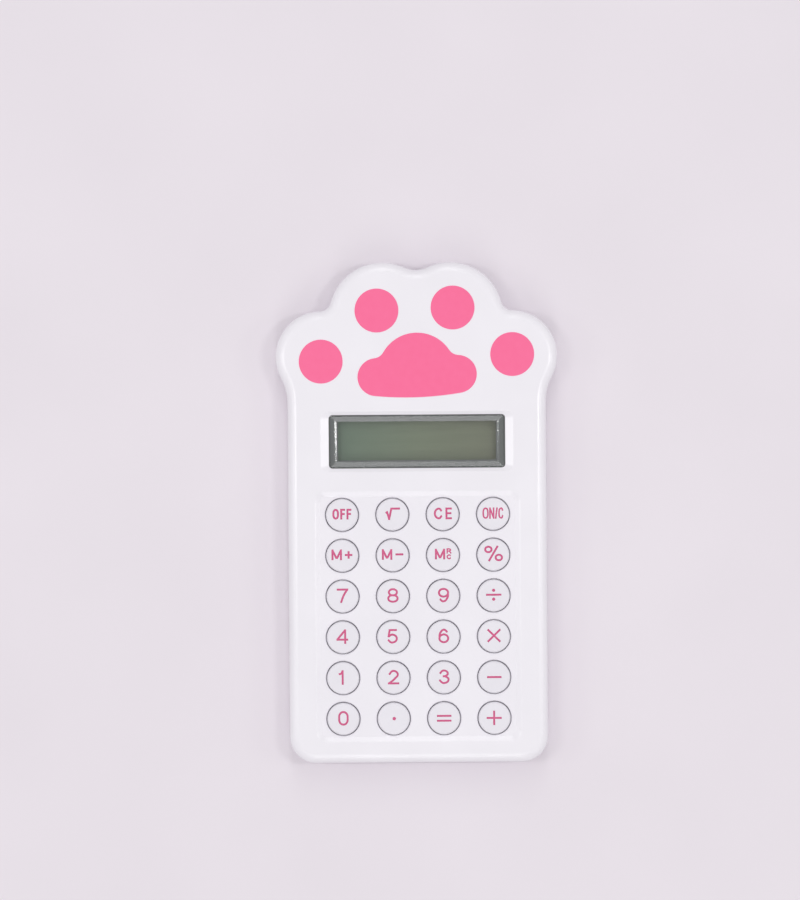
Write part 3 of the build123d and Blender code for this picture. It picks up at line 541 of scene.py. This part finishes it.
def pill_under(key, place):
    """The pill under one key."""
    form = welded("contact_pills")
    others = [corner for corner in form.verts if (corner.co - place).xy.length > ROW_STEP / 2]
    bmesh.ops.delete(form, geom=others, context="VERTS")
    foot = min(corner.co.z for corner in form.verts)
    for corner in form.verts:
        corner.co.z = max(corner.co.z, foot + PILL_HAIR)
    return cut_piece(form, key.replace("key", "pill", 1), "contact_pills")


for key, place in KEY_PLACES.items():
    tile = mat_tile(key, place)
    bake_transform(tile)
    pill = pill_under(key, place)
    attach(pill, key)
print("domes and pills:", len(KEY_PLACES))

# %% [markdown]
# ## Legends, drawn with a pen
# Each key carries a figure, a sign or a few letters in pink. A font object is the quick way, but the
# built-in letters have another character than these even, open, rounded ones. So each sign is drawn as a
# designer of stencils would do it: the middle lines of its strokes, followed by a flat nib. A Bezier
# spline is the middle line, a small rectangle is the nib, and the curve's own bevel sweeps one along the
# other.
#
# A sign is drawn in a box that is 1 wide and 1 high, and scaled to its real size later. The pen goes
# straight from corner to corner, or it flows. A free straight stroke starts and ends half a nib beyond
# its end points, so that the sign fills its box, and a brace between two other strokes doesn't.

# %% Kinds of stroke
STRAIGHT = "straight"
BRACE = "brace"
BOW = "bow"
RING = "ring"


def straight(*points):
    """A free stroke with sharp corners."""
    return STRAIGHT, points


def brace(*points):
    """A straight stroke between two others."""
    return BRACE, points


def bow(*points):
    """An open stroke that flows through its points."""
    return BOW, points


def ring(*points):
    """A closed stroke that flows through its points."""
    return RING, points


def oval(x, y, half_width, half_height):
    """A closed round stroke about a middle."""
    turns = [(1, 0), (0, 1), (-1, 0), (0, -1)]
    return ring(*[(x + across * half_width, y + up * half_height) for across, up in turns])


# %% Figures
FIGURES = {
    "0": [
        ring((1, 0.5), (0.88, 0.87), (0.5, 1), (0.12, 0.87), (0, 0.5), (0.12, 0.13), (0.5, 0), (0.88, 0.13))
    ],
    "1": [straight((0.88, 1), (0.88, 0)), bow((0, 0.77), (0.5, 0.8), (0.84, 1))],
    "2": [bow((0.04, 0.71), (0.48, 1), (0.94, 0.73), (0.66, 0.4), (0.04, 0)), straight((0.02, 0), (0.98, 0))],
    "3": [
        bow((0.06, 0.76), (0.46, 1), (0.92, 0.77), (0.62, 0.55), (0.38, 0.54)),
        bow((0.38, 0.54), (0.64, 0.53), (1, 0.27), (0.48, 0), (0, 0.25)),
    ],
    "4": [straight((0.8, 0), (0.8, 1)), brace((0.78, 1), (0, 0.26)), straight((0.02, 0.26), (1, 0.26))],
    "5": [
        straight((0.9, 1), (0.2, 1), (0.08, 0.5)),
        bow((0.08, 0.48), (0.5, 0.64), (1, 0.32), (0.48, 0), (0, 0.22)),
    ],
    "6": [oval(0.52, 0.31, 0.48, 0.31), bow((0.92, 0.8), (0.54, 1), (0.12, 0.72), (0.04, 0.31))],
    "7": [straight((0, 1), (1, 1)), bow((0.99, 0.99), (0.6, 0.5), (0.34, -0.06))],
    "8": [oval(0.5, 0.755, 0.43, 0.245), oval(0.5, 0.26, 0.5, 0.26)],
    "9": [oval(0.48, 0.69, 0.48, 0.31), bow((0.08, 0.2), (0.46, 0), (0.88, 0.28), (0.96, 0.69))],
}
print("figures:", len(FIGURES))

# %% Letters and signs
LETTERS = {
    "O": [oval(0.5, 0.5, 0.5, 0.5)],
    "F": [straight((0.96, 1), (0, 1), (0, 0)), straight((0, 0.52), (0.82, 0.52))],
    "C": [bow((0.95, 0.74), (0.54, 1), (0, 0.5), (0.54, 0), (0.97, 0.28))],
    "E": [straight((1, 1), (0, 1), (0, 0), (1, 0)), straight((0, 0.52), (0.9, 0.52))],
    "N": [straight((0, 0), (0, 1)), brace((0, 1), (1, 0)), straight((1, 0), (1, 1))],
    "M": [
        straight((0, 0), (0, 1)),
        brace((0, 1), (0.5, 0.05)),
        brace((0.5, 0.05), (1, 1)),
        straight((1, 1), (1, 0)),
    ],
    "R": [
        straight((0, 0), (0, 1)),
        bow((0, 1), (0.6, 0.98), (0.92, 0.75), (0.6, 0.5), (0, 0.49)),
        straight((0.55, 0.48), (1, 0)),
    ],
    "/": [straight((0, 0), (1, 1))],
}
SIGNS = {
    "root": [brace((0, 0.58), (0.11, 0.66), (0.26, 0)), straight((0.26, 0), (0.43, 1), (1, 1))],
    "percent": [oval(0.19, 0.8, 0.19, 0.2), oval(0.81, 0.2, 0.19, 0.2), straight((0.24, 0), (0.72, 1))],
    "multiply": [straight((0, 0), (1, 1)), straight((0, 1), (1, 0))],
    "minus": [straight((0, 0.5), (1, 0.5))],
    "plus": [straight((0, 0.5), (1, 0.5)), straight((0.5, 0), (0.5, 1))],
    "equals": [straight((0, 0), (1, 0)), straight((0, 1), (1, 1))],
    "point": [oval(0.5, 0.5, 0.5, 0.5)],
}
STROKES = {**FIGURES, **LETTERS, **SIGNS}
print("letters and signs:", len(LETTERS) + len(SIGNS))

# %% [markdown]
# ## What each key says
# A legend is a list of marks: which sign, where its middle lies on the key, how wide and high it is, and
# how broad the nib is, all in millimetres. Words are spaced out by a helper, letter by letter.

# %% Marks and words
NIB = 0.46
FINE_NIB = 0.36
LETTER_SHARES = {"O": 1.2, "F": 0.9, "N": 1.0, "/": 0.55, "C": 1.05}


def mark(sign, x, y, width, height, nib=NIB):
    """One sign with its middle, size and nib."""
    return sign, x, y, width, height, nib


def word(letters, width, height, gap, nib):
    """Letters side by side, filling a width."""
    share = (width - gap * (len(letters) - 1)) / sum(LETTER_SHARES[letter] for letter in letters)
    marks = []
    left = -width / 2
    for letter in letters:
        letter_width = LETTER_SHARES[letter] * share
        marks.append(mark(letter, left + letter_width / 2, 0, letter_width, height, nib))
        left += letter_width + gap
    return marks


# %% Figures on their keys
FIGURE_HEIGHT = 3.4
FIGURE_WIDTHS = {
    "0": 2.45, "1": 1.5, "2": 2.75, "3": 2.65, "4": 2.8, "5": 2.55, "6": 2.6, "7": 2.7, "8": 2.65, "9": 2.7
}
FIGURE_SHIFTS = {"1": -0.5, "4": -0.15, "5": -0.2, "9": 0.1}
LEGENDS = {}
for figure, figure_width in FIGURE_WIDTHS.items():
    LEGENDS[f"key_{figure}"] = [mark(figure, FIGURE_SHIFTS.get(figure, 0), 0, figure_width, FIGURE_HEIGHT)]

# %% Letters and signs on their keys
CAPITAL_HEIGHT = 2.5
BAR = 3.4
LOW_SIGN = -0.16
MEMORY = mark("M", -1.3, 0.05, 2.45, CAPITAL_HEIGHT)

LEGENDS["key_off"] = word("OFF", 4.5, CAPITAL_HEIGHT, 0.3, NIB)
LEGENDS["key_root"] = [mark("root", 0, 0, 3.6, 2.9)]
LEGENDS["key_ce"] = [mark("C", -1.0, 0, 2.15, 2.75), mark("E", 1.4, 0, 1.5, 2.75)]
LEGENDS["key_on"] = word("ON/C", 5.0, 2.65, 0.12, FINE_NIB)
LEGENDS["key_m_plus"] = [MEMORY, mark("plus", 1.5, 0, 1.75, 1.75)]
LEGENDS["key_m_minus"] = [MEMORY, mark("minus", 1.6, 0.05, 1.85, NIB)]
LEGENDS["key_m_recall"] = [
    mark("M", -0.7, 0.05, 2.4, CAPITAL_HEIGHT),
    mark("R", 1.42, 0.78, 1.15, 1.25, 0.3),
    mark("C", 1.42, -0.6, 1.15, 1.2, 0.3),
]
LEGENDS["key_percent"] = [mark("percent", 0.05, 0.1, 4.4, 3.65)]
LEGENDS["key_divide"] = [
    mark("minus", 0, 0, 3.6, NIB),
    mark("point", 0, 1.04, 0.74, 0.74, 0.35),
    mark("point", 0, -1.04, 0.74, 0.74, 0.35),
]
LEGENDS["key_multiply"] = [mark("multiply", 0, 0, 3.1, 3.05)]
LEGENDS["key_minus"] = [mark("minus", 0, LOW_SIGN, BAR, NIB)]
LEGENDS["key_point"] = [mark("point", 0.1, LOW_SIGN, 0.8, 0.8, 0.38)]
LEGENDS["key_equals"] = [mark("equals", 0, LOW_SIGN, BAR, 1.6)]
LEGENDS["key_plus"] = [mark("plus", -0.1, LOW_SIGN, 3.55, BAR)]
print("legends:", len(LEGENDS), "for", len(KEY_NODES), "keys")

# %% [markdown]
# ## From strokes to a film of ink
# Each stroke becomes a closed strip. Where strokes cross, two strips would lie in each other and flicker,
# so a Boolean union fuses them into one film. Joining them by hand would do as well, but the modifier
# does every sign alike. The work is done in millimetres, because Blender's mesh tools are at ease with
# numbers near 1.

# %% The nib, and one stroke drawn with it
INK_THICKNESS = 0.015
INK_ROOT = 0.04
STROKE_STEPS = 8


def cut_nib(breadth):
    """A flat rectangle for a curve to sweep along a stroke."""
    curve = bpy.data.curves.new("nib", "CURVE")
    curve.dimensions = "2D"
    outline = curve.splines.new("POLY")
    outline.points.add(3)
    outline.use_cyclic_u = True
    left, right = -breadth / 2, breadth / 2
    corners = [(left, -INK_ROOT), (right, -INK_ROOT), (right, INK_THICKNESS), (left, INK_THICKNESS)]
    for point, (x, y) in zip(outline.points, corners):
        point.co = (x, y, 0, 1)
    nib = bpy.data.objects.new("nib", curve)
    workbench.objects.link(nib)
    return nib


def draw_stroke(kind, points, nib):
    """A curve object along one stroke, as broad as the nib."""
    handles = "AUTO" if kind in (BOW, RING) else "VECTOR"
    curve = bpy.data.curves.new("stroke", "CURVE")
    curve.dimensions = "2D"
    curve.fill_mode = "NONE"
    curve.resolution_u = STROKE_STEPS
    curve.bevel_mode = "OBJECT"
    curve.bevel_object = nib
    curve.use_fill_caps = True
    line = curve.splines.new("BEZIER")
    line.bezier_points.add(len(points) - 1)
    line.use_cyclic_u = kind == RING
    for point, place in zip(line.bezier_points, points):
        point.co = place
        point.handle_left_type = handles
        point.handle_right_type = handles
    drawn = bpy.data.objects.new("stroke", curve)
    workbench.objects.link(drawn)
    return drawn


# %% Strips, and their union
WELD = 1e-5


def as_mesh(piece):
    """The mesh that a curve or a modifier makes."""
    return bpy.data.meshes.new_from_object(piece.evaluated_get(bpy.context.evaluated_depsgraph_get()))


def strip_of(drawn):
    """A stroke's strip as a closed mesh object; the curve is thrown away."""
    mesh = as_mesh(drawn)
    bpy.data.objects.remove(drawn)
    form = bmesh.new()
    form.from_mesh(mesh)
    bmesh.ops.remove_doubles(form, verts=form.verts, dist=WELD)
    bmesh.ops.recalc_face_normals(form, faces=form.faces)
    form.to_mesh(mesh)
    form.free()
    return bpy.data.objects.new("strip", mesh)


def lengthen(points, by):
    """The same line, with both of its ends moved outwards."""
    first, second, *_ = points
    *_, before, last = points
    start = first + (first - second).normalized() * by
    end = last + (last - before).normalized() * by
    return [start, *points[1:-1], end]


def strips_of(marks):
    """Every strip of a legend."""
    strips = []
    for sign, x, y, width, height, breadth in marks:
        nib = cut_nib(breadth)
        reach_x = width - breadth
        reach_y = height - breadth
        for kind, points in STROKES[sign]:
            placed = [Vector((x + (px - 0.5) * reach_x, y + (py - 0.5) * reach_y, 0)) for px, py in points]
            if kind == STRAIGHT:
                placed = lengthen(placed, breadth / 2)
            strips.append(strip_of(draw_stroke(kind, placed, nib)))
        bpy.data.objects.remove(nib)
    return strips


def fuse(strips):
    """One mesh from all the strips of a legend."""
    base, *others = strips
    others_group = bpy.data.collections.new("strips")
    workbench.children.link(others_group)
    workbench.objects.link(base)
    for strip in others:
        others_group.objects.link(strip)
    if others:
        union = base.modifiers.new("fuse", "BOOLEAN")
        union.operation = "UNION"
        union.solver = "EXACT"
        union.operand_type = "COLLECTION"
        union.collection = others_group
    film = as_mesh(base)
    for strip in strips:
        bpy.data.objects.remove(strip)
    bpy.data.collections.remove(others_group)
    return film


# %% [markdown]
# ## Laying the film on the key
# The tops of the keys are slightly crowned, so a flat film would stand off at the key's edge or sink in
# at its middle. The film is cut into short pieces, and each of its points drops straight down onto the
# key's own mesh. The print sits a hair above the middle of each key, as stamped legends tend to.

# %% Drape, and print all the keys
LONGEST_EDGE = 0.5
PRINT_RISE = 0.2
DOWN = Vector((0, 0, -1))


def cut_short(form):
    """No edge stays longer than it may be, so that the film can bend."""
    for edge in [edge for edge in form.edges if edge.calc_length() > LONGEST_EDGE]:
        cuts = int(edge.calc_length() / LONGEST_EDGE)
        bmesh.ops.subdivide_edges(form, edges=[edge], cuts=cuts)
    bmesh.ops.triangulate(form, faces=form.faces)


def drape(film, key):
    """The flat film, in millimetres, comes down onto the key, in metres."""
    middle = KEY_PLACES[key]
    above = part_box(key)[1].z + MM
    form = bmesh.new()
    form.from_mesh(film)
    cut_short(form)
    for corner in form.verts:
        x = middle.x + corner.co.x * MM
        y = middle.y + (corner.co.y + PRINT_RISE) * MM
        _, landing, _, _ = nodes[key].ray_cast(Vector((x, y, above)), DOWN)
        corner.co = (x, y, landing.z + corner.co.z * MM)
    form.to_mesh(film)
    form.free()


bpy.context.view_layer.update()
for key, marks in LEGENDS.items():
    ink_film = fuse(strips_of(marks))
    drape(ink_film, key)
    ink_film.materials.clear()
    ink_film.materials.append(LEGEND_INK)
    legend = bpy.data.objects.new(key.replace("key", "legend", 1), ink_film)
    workbench.objects.link(legend)
    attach(legend, key)
print("printed keys:", len(LEGENDS))

# %% [markdown]
# ## Floor
# The calculator lies on a plain pale surface with a touch of lilac. The floor is far wider than the
# picture, so that it also fills views from the side. Far from the lamps it would be dark and end in a
# hard line, so it fades into the tone of the backdrop. It isn't part of the object.

# %% A coat that fades into the backdrop
FLOOR_SIDE = 6.0
FLOOR_GAP = 0.02 * MM
FADE_START = 0.3
FADE_END = 1.0
BACKDROP = (*tone(232, 226, 232), 1)


def fade_away(material):
    """Far from the middle, the coat gives way to the plain tone of the backdrop."""
    tree = material.node_tree
    shader = tree.nodes["Principled BSDF"]
    place = tree.nodes.new("ShaderNodeTexCoord")
    distance = tree.nodes.new("ShaderNodeVectorMath")
    distance.operation = "LENGTH"
    fade = tree.nodes.new("ShaderNodeMapRange")
    fade.interpolation_type = "SMOOTHSTEP"
    fade.inputs["From Min"].default_value = FADE_START
    fade.inputs["From Max"].default_value = FADE_END
    far = tree.nodes.new("ShaderNodeEmission")
    far.inputs["Color"].default_value = BACKDROP
    share = tree.nodes.new("ShaderNodeMixShader")
    tree.links.new(place.outputs["Object"], distance.inputs[0])
    tree.links.new(distance.outputs["Value"], fade.inputs["Value"])
    tree.links.new(fade.outputs["Result"], share.inputs["Fac"])
    tree.links.new(shader.outputs["BSDF"], share.inputs[1])
    tree.links.new(far.outputs["Emission"], share.inputs[2])
    tree.links.new(share.outputs["Shader"], tree.nodes["Material Output"].inputs["Surface"])


# %% The floor in its place
pale_coat = mix_finish(
    "pale_floor",
    tones=(tone(232, 225, 232), tone(235, 228, 235)),
    drift=40 * MM,
    gloss=(0.75, 0.85),
    patch=20 * MM,
)
fade_away(pale_coat)
floor_mesh = bpy.data.meshes.new("floor")
floor_form = bmesh.new()
bmesh.ops.create_grid(floor_form, x_segments=1, y_segments=1, size=FLOOR_SIDE / 2)
floor_form.to_mesh(floor_mesh)
floor_form.free()
floor_mesh.materials.append(pale_coat)
floor = bpy.data.objects.new("floor", floor_mesh)
floor.location.z = cad_low.z - FLOOR_GAP
workbench.objects.link(floor)
print("floor:", FLOOR_SIDE, "m wide")

# %% [markdown]
# ## Light
# Product pictures of white plastic use soft lamps and a bright room, so that shadows stay weak and only
# the edges draw the shape. The room here is the world's even light, which gives more than half of the
# total. Two long boxes, beyond the toes and below the keypad, show in the lens's long bevels. Two square
# ones, low on the left and right, draw the case's rounded edges. A short strip high on the left puts a
# bright line on the lens, and another on the right puts a dash at its upper corner. Together they light a
# level white sheet to just about white, so a colour shows as it was written.

# %% Soft boxes
AIM = Vector((0, 0, 0))


def soft_box(name, place, width, height, watts):
    """A rectangular lamp that points at the calculator."""
    lamp = bpy.data.lights.new(name, "AREA")
    lamp.shape = "RECTANGLE"
    lamp.size = width
    lamp.size_y = height
    lamp.energy = watts
    stand = bpy.data.objects.new(name, lamp)
    stand.location = place
    stand.rotation_euler = (AIM - stand.location).to_track_quat("-Z", "Y").to_euler()
    workbench.objects.link(stand)
    print(name, "at", round(stand.location.length, 2), "m,", watts, "W")


soft_box("toe_soft_box", (0, 0.68, 0.9), 0.16, 0.75, 1.35)
soft_box("keypad_soft_box", (0, -0.68, 0.9), 0.16, 0.75, 1.35)
soft_box("left_soft_box", (-0.72, 0, 0.695), 0.22, 0.22, 0.4)
soft_box("right_soft_box", (0.72, 0, 0.695), 0.22, 0.22, 0.4)
soft_box("left_line_lamp", (-0.375, 0.04, 0.927), 0.05, 0.26, 0.85)
soft_box("right_line_lamp", (0.375, 0.047, 0.927), 0.03, 0.16, 0.9)

# %% Light of the room
ROOM_LIGHT = 0.595


def either(tree, first, second):
    """1 where one of two signals is 1."""
    larger = tree.nodes.new("ShaderNodeMath")
    larger.operation = "MAXIMUM"
    tree.links.new(first, larger.inputs[0])
    tree.links.new(second, larger.inputs[1])
    return larger.outputs["Value"]


def room():
    """Even white light; the eye, mirrors and clear pieces see a pale backdrop instead."""
    world = bpy.data.worlds.new("room")
    world.use_nodes = True
    tree = world.node_tree
    light = tree.nodes["Background"]
    light.inputs["Color"].default_value = (1, 1, 1, 1)
    light.inputs["Strength"].default_value = ROOM_LIGHT
    backdrop = tree.nodes.new("ShaderNodeBackground")
    backdrop.inputs["Color"].default_value = BACKDROP
    path = tree.nodes.new("ShaderNodeLightPath").outputs
    seen = either(tree, path["Is Camera Ray"], path["Is Glossy Ray"])
    choice = tree.nodes.new("ShaderNodeMixShader")
    tree.links.new(either(tree, seen, path["Is Transmission Ray"]), choice.inputs["Fac"])
    tree.links.new(light.outputs["Background"], choice.inputs[1])
    tree.links.new(backdrop.outputs["Background"], choice.inputs[2])
    tree.links.new(choice.outputs["Shader"], tree.nodes["World Output"].inputs["Surface"])
    return world


bpy.context.scene.world = room()
bpy.context.scene.view_settings.view_transform = "Standard"
print("room light:", ROOM_LIGHT)

# %% [markdown]
# ## Camera
# The picture was taken from straight above with a long lens, so the calculator shows no perspective to
# speak of. It lies a little below the middle of the picture and turned by less than half a degree. The
# lens follows from the height of the view at the calculator's face: a pixel there is 0.2355 mm.

# %% Camera above the face
PICTURE_HEIGHT = 900
PIXEL = 0.2355 * MM
CAMERA_DISTANCE = 0.9
SENSOR_HEIGHT = 36.0
VIEW_MIDDLE_X = -4.01 * MM
VIEW_MIDDLE_Y = 14.73 * MM
PICTURE_TURN = 0.42

face_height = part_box("front_case")[1].z
eye = bpy.data.cameras.new("eye")
eye.sensor_fit = "VERTICAL"
eye.sensor_height = SENSOR_HEIGHT
eye.lens = SENSOR_HEIGHT * CAMERA_DISTANCE / (PICTURE_HEIGHT * PIXEL)
camera = bpy.data.objects.new("camera", eye)
camera.location = (VIEW_MIDDLE_X, VIEW_MIDDLE_Y, face_height + CAMERA_DISTANCE)
camera.rotation_euler = (0, 0, -radians(PICTURE_TURN))
workbench.objects.link(camera)
bpy.context.scene.camera = camera
print("lens:", round(eye.lens, 1), "mm")
